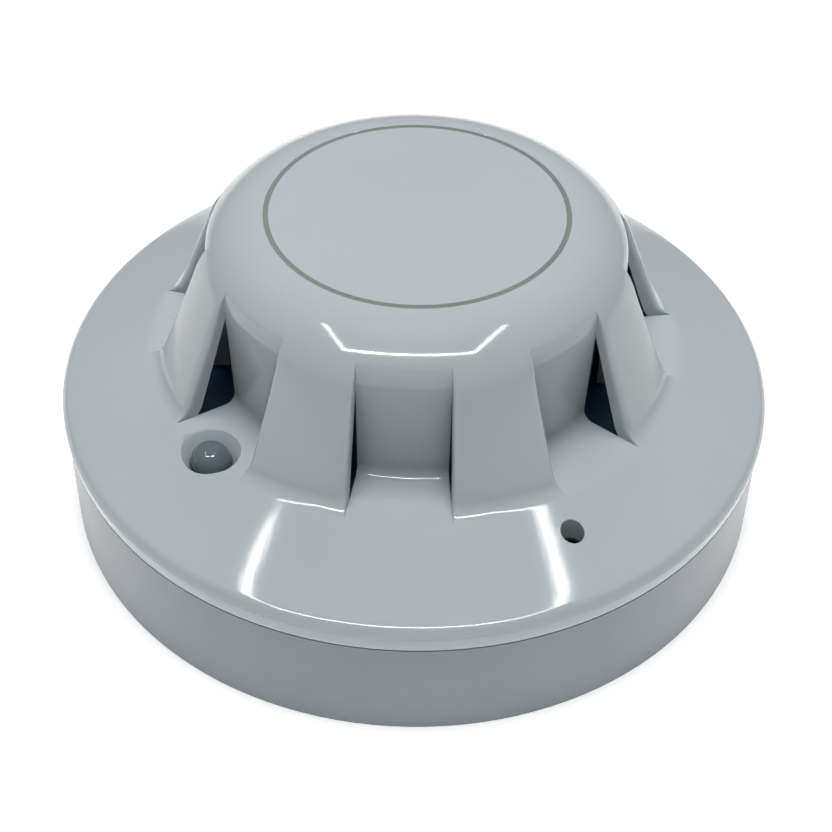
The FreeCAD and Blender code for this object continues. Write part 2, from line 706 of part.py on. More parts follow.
# ------------------------------------------------------------ board and electronics
board = new_body("circuit_board")
plan = new_sketch(board, "plan", lift="#board_z")
circle(plan, "0", "0", "#board_r")
extrude(board, plan, "plan_pad", "#board_thick")
cuts = new_sketch(board, "notches", lift="#board_z+#board_thick")
for angle in BOSS_ANGLES:
    circle(cuts, *polar("#boss_r", str(angle)), "#boss+0.5")
circle(cuts, lock_x, lock_y, "3.6")
cut_down(board, cuts, "notch_cut", "#board_thick")
drills = new_sketch(board, "drills", lift="#board_z+#board_thick")
for angle in TERMINAL_ANGLES:
    circle(drills, *polar("#pin_r", str(angle)), "#pin+0.05")
for angle in POST_ANGLES:
    circle(drills, *polar("#post_r", str(angle)), "1.1")
cut_down(board, drills, "drill_cut", "#board_thick")
finish(board, "circuit_board")

BOARD_TOP = "#board_z+#board_thick"
for index, angle in enumerate(POST_ANGLES, start=1):
    screw = new_body("board_screw_%d" % index)
    profile = new_sketch(screw, "section", "XZ_Plane")
    outline(profile, [
        ("0", "12.4"),
        ("0.95", "12.4"),
        ("0.95", BOARD_TOP),
        ("2", BOARD_TOP),
        ("2", BOARD_TOP + "+0.8"),
        ("1.5", BOARD_TOP + "+1.2"),
        ("0", BOARD_TOP + "+1.2"),
    ])
    revolve(screw, profile, "turned")
    drive = new_sketch(screw, "drive", lift=BOARD_TOP + "+1.2")
    rectangle(drive, "-1.4", "-0.3", "1.4", "0.3")
    cut_down(screw, drive, "drive_cut", "0.6")
    place(screw, *polar("#post_r", str(angle)))
    finish(screw, screw.Name)

finish(block("chip", "9", "9", "1.6", "0", "-13", BOARD_TOP), "controller_chip")
finish(block("bridge", "8", "6", "3", "0", "14", BOARD_TOP), "bridge_rectifier")
RESISTOR_SPOTS = (("30", "-4"), ("30", "4"), ("-29", "6"), ("-29", "-4"))
for index, (x, y) in enumerate(RESISTOR_SPOTS, start=1):
    finish(block("chip_resistor_%d" % index, "3.2", "1.6", "0.6", x, y, BOARD_TOP), "resistor_%d" % index)
finish(block("led_chip", "3.2", "2.8", "0.9", led_x, led_y, BOARD_TOP), "alarm_led")
CAPACITORS = (("large", "4", "10", "15", "0"), ("small", "3.15", "7", "-15", "0"))
for word, radius, tall, x, y in CAPACITORS:
    can = new_body("capacitor_" + word)
    profile = new_sketch(can, "section", "XZ_Plane")
    outline(profile, [
        ("0", BOARD_TOP),
        (radius, BOARD_TOP),
        (radius, BOARD_TOP + "+1.2"),
        (radius + "-0.3", BOARD_TOP + "+1.6"),
        (radius, BOARD_TOP + "+2"),
        (radius, BOARD_TOP + "+%s-0.4" % tall),
        (radius + "-0.4", BOARD_TOP + "+" + tall),
        ("0", BOARD_TOP + "+" + tall),
    ])
    revolve(can, profile, "turned")
    place(can, x, y)
    finish(can, can.Name)

pipe = new_body("light_pipe")
profile = new_sketch(pipe, "section", "XZ_Plane")
outline(profile, [
    ("0", BOARD_TOP + "+1"),
    ("2.1", BOARD_TOP + "+1"),
    ("2.1", "18.1"),
    ("#pipe_radius", "18.1"),
    ("#pipe_radius", "#pipe_top_z-#pipe_radius"),
    ("0", "#pipe_top_z", "#pipe_radius", 1),
])
revolve(pipe, profile, "turned")
place(pipe, led_x, led_y)
finish(pipe, "light_pipe")

LEAD_GAP = "1.27"
post = new_body("sensor_post")
plan = new_sketch(post, "plan", lift=BOARD_TOP)
circle(plan, "0", "0", "3")
extrude(post, plan, "plan_pad", "11")
bores = new_sketch(post, "lead_bores", lift=BOARD_TOP + "+11")
for side in ("-", ""):
    circle(bores, side + LEAD_GAP, "0", "0.35")
cut_down(post, bores, "lead_bore_cut", "11")
finish(post, "sensor_post")
BEAD_Z = "33.5"
leads = [
    cylinder("lead_left", "0.3", BOARD_TOP, BEAD_Z, "-" + LEAD_GAP, "0"),
    cylinder("lead_right", "0.3", BOARD_TOP, BEAD_Z, LEAD_GAP, "0"),
]
bead = document.addObject("Part::Sphere", "bead_ball")
bead.setExpression("Radius", "2")
place(bead, z=BEAD_Z + "+0.9")
bead_holes = [
    cylinder("bead_hole_left", "0.3", "30", BEAD_Z, "-" + LEAD_GAP, "0"),
    cylinder("bead_hole_right", "0.3", "30", BEAD_Z, LEAD_GAP, "0"),
]
finish(cut("bead_cut", bead, fuse("bead_holes", bead_holes)), "thermistor_bead")
finish(leads[0], "thermistor_lead_1")
finish(leads[1], "thermistor_lead_2")
reference = new_body("reference_thermistor")
profile = new_sketch(reference, "section", "XZ_Plane")
outline(profile, [
    ("0", BOARD_TOP),
    ("1.2", BOARD_TOP),
    ("1.2", BOARD_TOP + "+1.6"),
    ("0", BOARD_TOP + "+2.8", "1.2", 1),
])
revolve(reference, profile, "turned")
place(reference, "8", "-8")
finish(reference, "reference_thermistor")

# ----------------------------------------------------------------- sensor guard
guard = new_body("sensor_guard")
profile = new_sketch(guard, "section", "XZ_Plane")
GUARD_IN = "#guard_r-#guard_wall"
outline(profile, [
    (GUARD_IN, "#guard_z"),
    ("#guard_flange", "#guard_z"),
    ("#guard_flange", "#guard_z+1.2"),
    ("#guard_r", "#guard_z+1.2"),
    ("#guard_r", "#guard_top"),
    ("16", "#guard_top"),
    ("16", "#guard_top-1.4"),
    (GUARD_IN, "#guard_top-1.4"),
])
revolve(guard, profile, "lathe")
legs = new_sketch(guard, "legs", lift=BOARD_TOP)
for angle in LEG_ANGLES:
    circle(legs, *polar("#post_r", str(angle)), "1.5")
extrude(guard, legs, "leg_pad", "#guard_z+0.6-(%s)" % BOARD_TOP)
notch = new_sketch(guard, "led_notch", lift="#guard_z+1.2")
circle(notch, led_x, led_y, WELL_WALL + "+0.4")
cut_down(guard, notch, "led_notch_cut", "1.2")
slot = new_sketch(guard, "slot", "XZ_Plane")
rectangle(slot, "-1.3", "#guard_z+2", "1.3", "#guard_top-3")
slot_cut = cut_down(guard, slot, "slot_cut", "#guard_r+1")
repeat(guard, slot_cut, "slot_ring", "16")
finish(guard, "sensor_guard")

# ------------------------------------------------------------ check and write out
document.removeObject("formula_reader")
document.recompute()
problems = []
for item in document.Objects:
    if any(word in item.State for word in ("Invalid", "Error")):
        problems.append(item.Name + " is not computed")
for item, name in finished:
    if item.Shape.isNull() or not item.Shape.isValid() or item.Shape.Volume <= 0:
        problems.append(name + " has no valid shape")
    elif len(item.Shape.Solids) != 1:
        problems.append("%s has %d solids" % (name, len(item.Shape.Solids)))
if problems:
    raise RuntimeError("; ".join(problems))
for item, name in finished:
    item.Shape.exportStep("parts/%s.step" % name)
print(len(finished), "sub-parts written")
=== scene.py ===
import json
import math

import bmesh
import bpy
from mathutils import Matrix, Vector


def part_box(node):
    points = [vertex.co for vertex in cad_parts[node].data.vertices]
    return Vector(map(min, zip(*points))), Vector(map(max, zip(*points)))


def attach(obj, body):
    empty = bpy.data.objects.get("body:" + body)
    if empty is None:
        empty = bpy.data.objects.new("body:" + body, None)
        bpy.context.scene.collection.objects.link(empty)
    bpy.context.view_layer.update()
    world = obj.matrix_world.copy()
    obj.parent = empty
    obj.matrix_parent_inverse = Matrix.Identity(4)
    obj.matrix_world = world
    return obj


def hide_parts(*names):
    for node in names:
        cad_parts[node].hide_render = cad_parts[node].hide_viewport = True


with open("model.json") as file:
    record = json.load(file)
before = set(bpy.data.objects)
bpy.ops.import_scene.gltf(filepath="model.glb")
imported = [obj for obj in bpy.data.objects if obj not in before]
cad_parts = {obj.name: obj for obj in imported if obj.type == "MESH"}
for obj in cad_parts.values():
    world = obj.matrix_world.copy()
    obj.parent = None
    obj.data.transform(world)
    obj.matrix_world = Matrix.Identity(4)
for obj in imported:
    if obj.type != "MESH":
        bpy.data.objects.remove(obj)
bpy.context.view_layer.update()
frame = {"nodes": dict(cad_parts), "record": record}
nodes = frame["nodes"]

MM = 0.001
RECESSES = 8
SECTOR = 360.0 / RECESSES
RECESS_COLUMNS = 12
HOOD_COLUMNS = 16
TURN_STEPS = 256

# ------------------------------------------------------------------ sizes in mm
TOP_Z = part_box("head_cover")[1].z / MM
FLAT_R, SHOULDER = 20.3, 10.3               # flat top, shoulder rounding
TOP_RADII = (3, 6, 9, 12, 15, 17.5, 19.2)   # rows of vertices on the flat top
RING_IN, RING_OUT = 19.73, 20.39            # groove of the top ring
GROOVE, EDGE_BREAK = 0.14, 0.04             # depth of the groove, break of its edges
FLARE = 22.0                                # hoods from vertical and skirt from level, degrees
SLOPE = math.radians(FLARE)
FOOT = (35.63, 24.53, 3.2)                  # where hoods meet the skirt: radius, height, rounding
JOIN_R, UNDER_JOIN_R = 37.05, 38.2          # end of hoods and recess floors, above and below
SKIRT_RADII = (38, 38.9, 40, 41.2, 42.4, 43.6, 44.8, 46, 47.2)
RIM = (48.2, 17.51, 1.8)                    # rim rounding: centre radius, centre height, radius
RIM_END = -6.0                              # where the rim rounding stops, degrees
RIM_FOOT = ((49.84, 16.1), (49.74, 15.4), (49.68, 15.27), (49.58, 15.2))
SEAM_Z = 15.2                               # lower edge of the cover
RIM_INNER = 47.4
UNDER_RADII = (44.0, 41.0)                  # rows of vertices under the skirt
WALL = 2.0                                  # wall thickness
FLOOR_IN_Z = 23.45                          # recess floor at its inner corner
WALL_R, WALL_FOOT_R, CORNER = 28.3, 27.9, 1.5   # recess wall: top, bottom, corner rounding
INNER_R = 26.3                              # inside of the recess wall
SPLIT_R = 27.7                              # where the recess lip leaves the shoulder
APEX_Z = 38.0                               # where the lip ends and the vent starts
LIP_REACH, LIP_STEPS = 1.2, 8               # how far the lip follows the shoulder
VENT_R = 33.7                               # outer bottom corner of a vent
VENT_SIDE = ((33.05, 24.75), (32.1, 27.3))  # rounded outer side of a vent
INNER_CROWN = (27.35, 39.45)                # inside of the hood above the vent
EDGE_ROUND, EDGE_STEPS = 1.3, 6             # rounding of the hood edges
HALF_WIDTH = 5.94                           # half width of a recess at its wall
SPLAY = math.tan(math.radians(5.9))         # slope of the recess sides
STRAIGHT_R = 24.0                           # inside this radius the sides are radial
LED_R, LED_AZ = 35.85, 225.0
LOCK_R, LOCK_AZ = 41.2, 302.0
WELL_WALL, LOCK_WALL = 4.8, 3.0             # outside of the indicator well and of the screw tube
PIPE_R = 2.6
SMOOTH = 38.0                               # cover edges sharper than this stay sharp, degrees


# ------------------------------------------------------------------- materials
def tuned(shader, name, value):
    if name in shader.inputs:
        shader.inputs[name].default_value = value


def material(name, dark, light, rough, bump=0.02, grain=900.0, patch=40.0, **extra):
    """Procedural finish: patchy colour, patchy roughness and a fine surface grain."""
    mat = bpy.data.materials.new(name)
    mat.use_nodes = True
    tree = mat.node_tree
    shader = tree.nodes["Principled BSDF"]
    place = tree.nodes.new("ShaderNodeTexCoord")
    cloud = tree.nodes.new("ShaderNodeTexNoise")
    cloud.inputs["Scale"].default_value = patch
    cloud.inputs["Detail"].default_value = 4.0
    tree.links.new(place.outputs["Object"], cloud.inputs["Vector"])
    ramp = tree.nodes.new("ShaderNodeValToRGB")
    ramp.color_ramp.elements[0].position = 0.3
    ramp.color_ramp.elements[1].position = 0.7
    ramp.color_ramp.elements[0].color = (*dark, 1)
    ramp.color_ramp.elements[1].color = (*light, 1)
    tree.links.new(cloud.outputs["Fac"], ramp.inputs["Fac"])
    tree.links.new(ramp.outputs["Color"], shader.inputs["Base Color"])
    fine = tree.nodes.new("ShaderNodeTexNoise")
    fine.inputs["Scale"].default_value = grain
    fine.inputs["Detail"].default_value = 3.0
    tree.links.new(place.outputs["Object"], fine.inputs["Vector"])
    spread = tree.nodes.new("ShaderNodeMapRange")
    spread.inputs["To Min"].default_value = rough[0]
    spread.inputs["To Max"].default_value = rough[1]
    tree.links.new(cloud.outputs["Fac"], spread.inputs["Value"])
    tree.links.new(spread.outputs["Result"], shader.inputs["Roughness"])
    relief = tree.nodes.new("ShaderNodeBump")
    relief.inputs["Strength"].default_value = bump
    relief.inputs["Distance"].default_value = 0.0002
    tree.links.new(fine.outputs["Fac"], relief.inputs["Height"])
    tree.links.new(relief.outputs["Normal"], shader.inputs["Normal"])
    for key, value in extra.items():
        tuned(shader, key.replace("_", " "), value)
    return mat


MATERIALS = {
    "cover_plastic": material(
        "cover_plastic", (0.377, 0.412, 0.433), (0.392, 0.428, 0.451), (0.06, 0.09),
        bump=0.02, grain=1400, IOR=1.5),
    # the base's own matte white plastic, with its colour set darker than the cover's as painted shade
    # for the lower light on its upright sides
    "base_plastic": material(
        "base_plastic", (0.227, 0.256, 0.285), (0.238, 0.268, 0.297), (0.26, 0.34),
        bump=0.08, grain=1800, IOR=1.5),
    "ring_grey": material(
        "ring_grey", (0.145, 0.161, 0.153), (0.189, 0.206, 0.189), (0.45, 0.6), bump=0.1),
    "guard_black": material(
        "guard_black", (0.014, 0.047, 0.104), (0.019, 0.060, 0.130), (0.4, 0.55), bump=0.1),
    "chassis_plastic": material(
        "chassis_plastic", (0.498, 0.522, 0.530), (0.546, 0.562, 0.570), (0.4, 0.5), bump=0.1),
    "seal_rubber": material(
        "seal_rubber", (0.015, 0.015, 0.015), (0.03, 0.03, 0.03), (0.7, 0.85), bump=0.3),
    "brass": material("brass", (0.55, 0.38, 0.13), (0.66, 0.48, 0.20), (0.2, 0.35), Metallic=1.0),
    "plated_steel": material(
        "plated_steel", (0.50, 0.50, 0.50), (0.62, 0.62, 0.60), (0.25, 0.4), Metallic=1.0),
    "spring_contact": material(
        "spring_contact", (0.58, 0.55, 0.50), (0.70, 0.67, 0.62), (0.2, 0.3), Metallic=1.0),
    "black_steel": material(
        "black_steel", (0.008, 0.008, 0.009), (0.02, 0.02, 0.02), (0.3, 0.45), Metallic=0.6),
    "nylon": material("nylon", (0.546, 0.530, 0.482), (0.594, 0.578, 0.530), (0.5, 0.6)),
    "board_green": material(
        "board_green", (0.010, 0.10, 0.035), (0.016, 0.14, 0.05), (0.25, 0.4), patch=300),
    "chip_black": material(
        "chip_black", (0.012, 0.012, 0.012), (0.02, 0.02, 0.02), (0.45, 0.6), bump=0.2),
    "led_body": material("led_body", (0.602, 0.602, 0.546), (0.642, 0.642, 0.594), (0.3, 0.4)),
    "can_aluminium": material(
        "can_aluminium", (0.55, 0.55, 0.57), (0.66, 0.66, 0.68), (0.25, 0.4), Metallic=1.0),
    "clear_pipe": material(
        "clear_pipe", (0.149, 0.189, 0.213), (0.177, 0.217, 0.241), (0.03, 0.06),
        bump=0.01, IOR=1.49, Transmission_Weight=0.35),
    "bead_epoxy": material("bead_epoxy", (0.01, 0.01, 0.015), (0.025, 0.025, 0.03), (0.15, 0.3)),
    "tinned_wire": material(
        "tinned_wire", (0.6, 0.6, 0.6), (0.7, 0.7, 0.7), (0.2, 0.3), Metallic=1.0),
}

slot_of = {part["node"]: part["material_slot"] for part in frame["record"]["subparts"]}
for name, node in nodes.items():
    node.data.materials.clear()
    node.data.materials.append(MATERIALS[slot_of[name]])


# --------------------------------------------------------------- mesh building
def arc(centre, radius, start, end, steps):
    """Profile points on an arc; angles in degrees from +R toward +Z."""
    points = []
    for step in range(steps + 1):
        angle = math.radians(start + (end - start) * step / steps)
        points.append((centre[0] + radius * math.cos(angle), centre[1] + radius * math.sin(angle)))
    return points


def line(start, end, steps):
    """Profile points from just after start up to end."""
    return [
        (start[0] + (end[0] - start[0]) * step / steps, start[1] + (end[1] - start[1]) * step / steps)
        for step in range(1, steps + 1)
    ]


def half_angle(radius):
    """Half the angle that a recess takes at a radius, in degrees."""
    reach = max(radius, STRAIGHT_R)
    start = math.sqrt(WALL_R ** 2 - HALF_WIDTH ** 2)
    offset = HALF_WIDTH - SPLAY * start
    return math.degrees(math.atan(SPLAY) + math.asin(offset / (reach * math.sqrt(1 + SPLAY ** 2))))


def to_object(name, mesh, slot, body, smooth=35.0):
    piece = bpy.data.objects.new(name, mesh)
    bpy.context.scene.collection.objects.link(piece)
    mesh.materials.append(MATERIALS[slot])
    for face in mesh.polygons:
        face.use_smooth = True
    mesh.set_sharp_from_angle(angle=math.radians(smooth))
    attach(piece, body)
    return piece


def lathe(name, profile, slot, body, at=(0.0, 0.0), steps=TURN_STEPS, smooth=35.0):
    """Closed solid of revolution; a profile point with radius 0 becomes a pole."""
    bm = bmesh.new()
    rows = []
    for radius, height in profile:
        if radius < 1e-6:
            rows.append([bm.verts.new((at[0] * MM, at[1] * MM, height * MM))])
            continue
        row = []
        for step in range(steps):
            angle = 2 * math.pi * step / steps
            x = at[0] + radius * math.cos(angle)
            y = at[1] + radius * math.sin(angle)
            row.append(bm.verts.new((x * MM, y * MM, height * MM)))
        rows.append(row)
    pairs = list(zip(rows, rows[1:]))
    if len(rows[0]) > 1 and len(rows[-1]) > 1:
        pairs.append((rows[-1], rows[0]))
    for first, second in pairs:
        for step in range(steps):
            following = (step + 1) % steps
            corners = [first[step % len(first)], first[following % len(first)],
                       second[following % len(second)], second[step % len(second)]]
            unique = list(dict.fromkeys(corners))
            if len(unique) > 2:
                bm.faces.new(unique)
    bmesh.ops.recalc_face_normals(bm, faces=bm.faces)
    mesh = bpy.data.meshes.new(name)
    bm.to_mesh(mesh)
    bm.free()
    return to_object(name, mesh, slot, body, smooth)


# ------------------------------------------------------------------- the cover
def skirt_z(radius):
    tangent_r = RIM[0] + RIM[2] * math.sin(SLOPE)
    tangent_z = RIM[1] + RIM[2] * math.cos(SLOPE)
    return tangent_z + (tangent_r - radius) * math.tan(SLOPE)


def under_z(radius):
    return skirt_z(radius) - WALL / math.cos(SLOPE)


SHOULDER_C = (FLAT_R, TOP_Z - SHOULDER)
split_tilt = math.degrees(math.acos((SPLIT_R - FLAT_R) / SHOULDER))
SPLIT = (SPLIT_R, SHOULDER_C[1] + SHOULDER * math.sin(math.radians(split_tilt)))
JOIN = (JOIN_R, skirt_z(JOIN_R))
RING_EDGE = 89.2   # the shoulder starts just outside the ring, degrees

top_rows = [(0.0, TOP_Z)] + [(radius, TOP_Z) for radius in TOP_RADII]
top_rows += [(RING_IN - EDGE_BREAK, TOP_Z), (RING_IN, TOP_Z - EDGE_BREAK), (RING_IN, TOP_Z - GROOVE),
             (RING_OUT, TOP_Z - GROOVE), (RING_OUT, TOP_Z - EDGE_BREAK)]
top_rows += arc(SHOULDER_C, SHOULDER, RING_EDGE, split_tilt, 13)

# hood: rest of the shoulder, flare, foot and the start of the skirt
half_turn = (math.pi / 2 - 2 * SLOPE) / 2
tangent = FOOT[2] * math.tan(half_turn)
foot_start = (FOOT[0] - math.sin(SLOPE) * tangent, FOOT[1] + math.cos(SLOPE) * tangent)
foot_centre = (foot_start[0] + math.cos(SLOPE) * FOOT[2], foot_start[1] + math.sin(SLOPE) * FOOT[2])
hood_rows = arc(SHOULDER_C, SHOULDER, split_tilt, FLARE, 7)
hood_rows += line(hood_rows[-1], foot_start, 8)
hood_rows += arc(foot_centre, FOOT[2], 180.0 + FLARE, 270.0 - FLARE, 8)[1:]
hood_rows += [JOIN]

# recess: rounded lip, back wall, corner, floor
APEX = (WALL_R, APEX_Z)
lip_steer = (SPLIT_R + LIP_REACH * math.sin(math.radians(split_tilt)),
             SPLIT[1] - LIP_REACH * math.cos(math.radians(split_tilt)))
recess_rows = []
for step in range(LIP_STEPS + 1):
    share = step / LIP_STEPS
    weights = ((1 - share) ** 2, 2 * share * (1 - share), share ** 2)
    recess_rows.append(tuple(
        sum(weight * spot[axis] for weight, spot in zip(weights, (SPLIT, lip_steer, APEX)))
        for axis in (0, 1)))
wall_foot = (WALL_FOOT_R, FLOOR_IN_Z + CORNER)
floor_slope = (JOIN[1] - FLOOR_IN_Z) / (JOIN_R - WALL_FOOT_R - CORNER)
apex_row = len(recess_rows) - 1
recess_rows += line(APEX, wall_foot, 8)
recess_rows += arc((WALL_FOOT_R + CORNER, FLOOR_IN_Z + CORNER), CORNER, 180.0, 270.0, 6)[1:]
vent_corner = (VENT_R, JOIN[1] - floor_slope * (JOIN_R - VENT_R))
recess_rows += line(recess_rows[-1], vent_corner, 3)
vent_row = len(recess_rows) - 1
recess_rows += line(vent_corner, JOIN, 4)

skirt_rows = [(radius, skirt_z(radius)) for radius in SKIRT_RADII]
skirt_rows += arc(RIM[:2], RIM[2], 90.0 - FLARE, RIM_END, 16)
skirt_rows += list(RIM_FOOT)
skirt_rows += [(RIM_INNER, SEAM_Z), (RIM_INNER, under_z(RIM_INNER))]
skirt_rows += [(radius, under_z(radius)) for radius in UNDER_RADII]
UNDER_JOIN = (UNDER_JOIN_R, under_z(UNDER_JOIN_R))
UNDER_Z = UNDER_JOIN[1]
CROWN = (INNER_R, SHOULDER_C[1] + math.sqrt((SHOULDER - WALL) ** 2 - (INNER_R - FLAT_R) ** 2))
inner_hood_rows = [UNDER_JOIN, (36.2, under_z(36.2)), vent_corner, *VENT_SIDE]
inner_hood_rows += line(VENT_SIDE[-1], APEX, 5)
inner_vent_row = 2
inner_apex_row = len(inner_hood_rows) - 1
inner_hood_rows += [INNER_CROWN, CROWN]
inner_recess_rows = [UNDER_JOIN, (34.0, UNDER_Z), (30.0, UNDER_Z), (INNER_R, UNDER_Z),
                     (INNER_R, 27.0), (INNER_R, 33.0), CROWN]
crown_tilt = math.degrees(math.atan2(CROWN[1] - SHOULDER_C[1], CROWN[0] - FLAT_R))
crown_rows = arc(SHOULDER_C, SHOULDER - WALL, crown_tilt, 90.0, 6)[1:]
crown_rows += [(10.0, TOP_Z - WALL), (0.0, TOP_Z - WALL)]


def in_space(point, angle):
    """Coordinates of a profile point turned to an angle measured from -Y."""
    turn = math.radians(angle - 90.0)
    return Vector((point[0] * math.cos(turn), point[0] * math.sin(turn), point[1]))


def gap(point, path):
    """Shortest distance from a profile point to a path of profile points."""
    spot = Vector(point)
    best = math.inf
    for start, end in zip(path, path[1:]):
        first = Vector(start)
        run = Vector(end) - first
        share = min(1.0, max(0.0, (spot - first).dot(run) / run.length_squared))
        best = min(best, (spot - first - run * share).length)
    return best


class Welder:
    """Makes each vertex once, so that patches share their borders."""

    def __init__(self):
        self.mesh = bmesh.new()
        self.found = {}

    def at(self, x, y, z):
        key = (round(x, 4), round(y, 4), round(z, 4))
        if key not in self.found:
            self.found[key] = self.mesh.verts.new((x * MM, y * MM, z * MM))
        return self.found[key]

    def vertex(self, point, angle):
        return self.at(*in_space(point, angle))

    def face(self, corners):
        unique = list(dict.fromkeys(corners))
        if len(unique) > 2:
            return self.mesh.faces.new(unique)
        return None


def column_angle(radius, sector, part, share, inset=0.0):
    """Angle of a column; inset draws the outer columns of a hood in from its edges."""
    centre = sector * SECTOR
    half = half_angle(radius)
    if part == "recess":
        return centre + half * (2 * share - 1)
    half += math.degrees(inset / max(radius, 1.0))
    return centre + half + (SECTOR - 2 * half) * share


def patch(weld, rows, sector, part, insets=None):
    columns = RECESS_COLUMNS if part == "recess" else HOOD_COLUMNS
    grid = []
    for point, inset in zip(rows, insets or [0.0] * len(rows)):
        grid.append([
            weld.vertex(point, column_angle(point[0], sector, part, step / columns, inset))
            for step in range(columns + 1)
        ])
    stitch(weld, grid)


def stitch(weld, grid):
    for upper, lower in zip(grid, grid[1:]):
        for step in range(len(upper) - 1):
            weld.face([upper[step], lower[step], lower[step + 1], upper[step + 1]])


def edge_points(weld, rows, sector, side):
    """Vertices of a row list on one side plane; side 0 and 1 bound the hood of a sector."""
    return [weld.vertex(point, column_angle(point[0], sector, "hood", side)) for point in rows]


def rounded_edge(weld, sector, side):
    """Roll from the hood surface into its side plane; returns the border left on the side plane."""
    grid = []
    for index, point in enumerate(hood_rows):
        before = Vector(hood_rows[max(index - 1, 0)])
        after = Vector(hood_rows[min(index + 1, len(hood_rows) - 1)])
        along = (after - before).normalized()
        size = edge_sizes[index]
        if size < 0.001:
            grid.append(edge_points(weld, [point], sector, side) * (EDGE_STEPS + 1))
            continue
        within = (point[0] + along.y * size, point[1] - along.x * size)
        start = in_space(point, column_angle(point[0], sector, "hood", side, size))
        corner = in_space(point, column_angle(point[0], sector, "hood", side))
        end = in_space(within, column_angle(within[0], sector, "hood", side))
        row = []
        for step in range(EDGE_STEPS + 1):
            share = step / EDGE_STEPS
            spot = start * (1 - share) ** 2 + corner * 2 * share * (1 - share) + end * share ** 2
            row.append(weld.at(*spot))
        grid.append(row)
    stitch(weld, grid)
    return [row[-1] for row in grid]


# the inner border of a hood's edge band, from the top of the hood to the foot of the recess
band_inside = recess_rows[:apex_row + 1] + inner_hood_rows[inner_vent_row:inner_apex_row][::-1]
band_inside += recess_rows[vent_row + 1:]
edge_sizes = [min(EDGE_ROUND, 0.6 * gap(point, band_inside)) for point in hood_rows]

weld = Welder()
for sector in range(RECESSES):
    for part in ("recess", "hood"):
        patch(weld, top_rows, sector, part)
        patch(weld, [JOIN] + skirt_rows + [UNDER_JOIN], sector, part)
        patch(weld, [CROWN] + crown_rows, sector, part)
    patch(weld, hood_rows, sector, "hood", edge_sizes)
    patch(weld, recess_rows, sector, "recess")
    patch(weld, inner_hood_rows, sector, "hood")
    patch(weld, inner_recess_rows, sector, "recess")
    for side in (0, 1):
        outer = rounded_edge(weld, sector, side)
        wall = edge_points(weld, recess_rows, sector, side)
        inner = edge_points(weld, inner_hood_rows, sector, side)
        back = edge_points(weld, inner_recess_rows, sector, side)
        # the hood's edge band, seen beside each vent
        weld.face(outer + wall[vent_row:-1][::-1]
                  + inner[inner_vent_row + 1:inner_apex_row] + wall[1:apex_row + 1][::-1])
        # the hidden end of the recess wall and floor
        weld.face(inner[:inner_vent_row] + wall[apex_row:vent_row + 1][::-1]
                  + inner[inner_apex_row + 1:] + back[1:-1][::-1])

bm = weld.mesh
bmesh.ops.recalc_face_normals(bm, faces=bm.faces)
open_edges = [edge for edge in bm.edges if len(edge.link_faces) != 2]
print("cover mesh: %d faces, %d edges not shared by two faces" % (len(bm.faces), len(open_edges)))
cover_mesh = bpy.data.meshes.new("cover")
bm.to_mesh(cover_mesh)
bm.free()
cover = bpy.data.objects.new("cover_moulding", cover_mesh)
bpy.context.scene.collection.objects.link(cover)


def at_angle(radius, degrees):
    turn = math.radians(degrees)
    return radius * math.cos(turn), radius * math.sin(turn)


def tool(name, profile, at):
    """Closed turned solid used only to shape the cover."""
    mesh_piece = bmesh.new()
    steps, offset = 72, 0.37    # the offset keeps tool edges off the edges of the cover
    rows = []
    for radius, height in profile:
        ring = []
        for step in range(steps):
            angle = 2 * math.pi * (step + offset) / steps
            ring.append(mesh_piece.verts.new((
                (at[0] + radius * math.cos(angle)) * MM,
                (at[1] + radius * math.sin(angle)) * MM, height * MM)))
        rows.append(ring)
    for lower, upper in zip(rows, rows[1:]):
        for step in range(steps):
            following = (step + 1) % steps
            mesh_piece.faces.new([lower[step], lower[following], upper[following], upper[step]])
    mesh_piece.faces.new(rows[0][::-1])
    mesh_piece.faces.new(rows[-1])
    bmesh.ops.recalc_face_normals(mesh_piece, faces=mesh_piece.faces)
    mesh = bpy.data.meshes.new(name)
    mesh_piece.to_mesh(mesh)
    mesh_piece.free()
    piece = bpy.data.objects.new(name, mesh)
    bpy.context.scene.collection.objects.link(piece)
    return piece


def bake(piece):
    """Replace a piece's mesh by the result of its modifiers."""
    bpy.context.view_layer.update()
    graph = bpy.context.evaluated_depsgraph_get()
    result = bpy.data.meshes.new_from_object(piece.evaluated_get(graph))
    piece.modifiers.clear()
    piece.data = result


led_at = at_angle(LED_R, LED_AZ)
lock_at = at_angle(LOCK_R, LOCK_AZ)
# profiles below are (radius, height) pairs about the axis of the well or the screw
joined = [
    tool("well_tube", [(WELL_WALL, 18.4), (WELL_WALL, 22.2)], led_at),
    tool("lock_tube", [(LOCK_WALL, 17.1), (LOCK_WALL, 20.9)], lock_at),
]
carved = [
    tool("well_space", [(2.72, 19.4), (2.8, 19.6), (2.8, 21.6), (2.9, 21.9), (3.9, 23.4), (4.08, 23.66),
                        (4.4, 23.9), (5.2, 24.5)], led_at),
    tool("pipe_space", [(2.65, 18.0), (2.65, 20.0)], led_at),
    tool("lock_space", [(1.5, 17.0), (1.5, 21.7), (1.56, 22.1), (1.6, 26)], lock_at),
]
for operation, solids in (("UNION", joined), ("DIFFERENCE", carved)):
    for solid in solids:
        step = cover.modifiers.new(solid.name, "BOOLEAN")
        step.operation = operation
        step.object = solid
        step.solver = "EXACT"
        bake(cover)
for solid in joined + carved:
    bpy.data.objects.remove(solid)
cover.data.materials.clear()
cover.data.materials.append(MATERIALS["cover_plastic"])
for face in cover.data.polygons:
    face.use_smooth = True
    face.material_index = 0
cover.data.set_sharp_from_angle(angle=math.radians(SMOOTH))
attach(cover, "head")
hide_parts("head_cover")

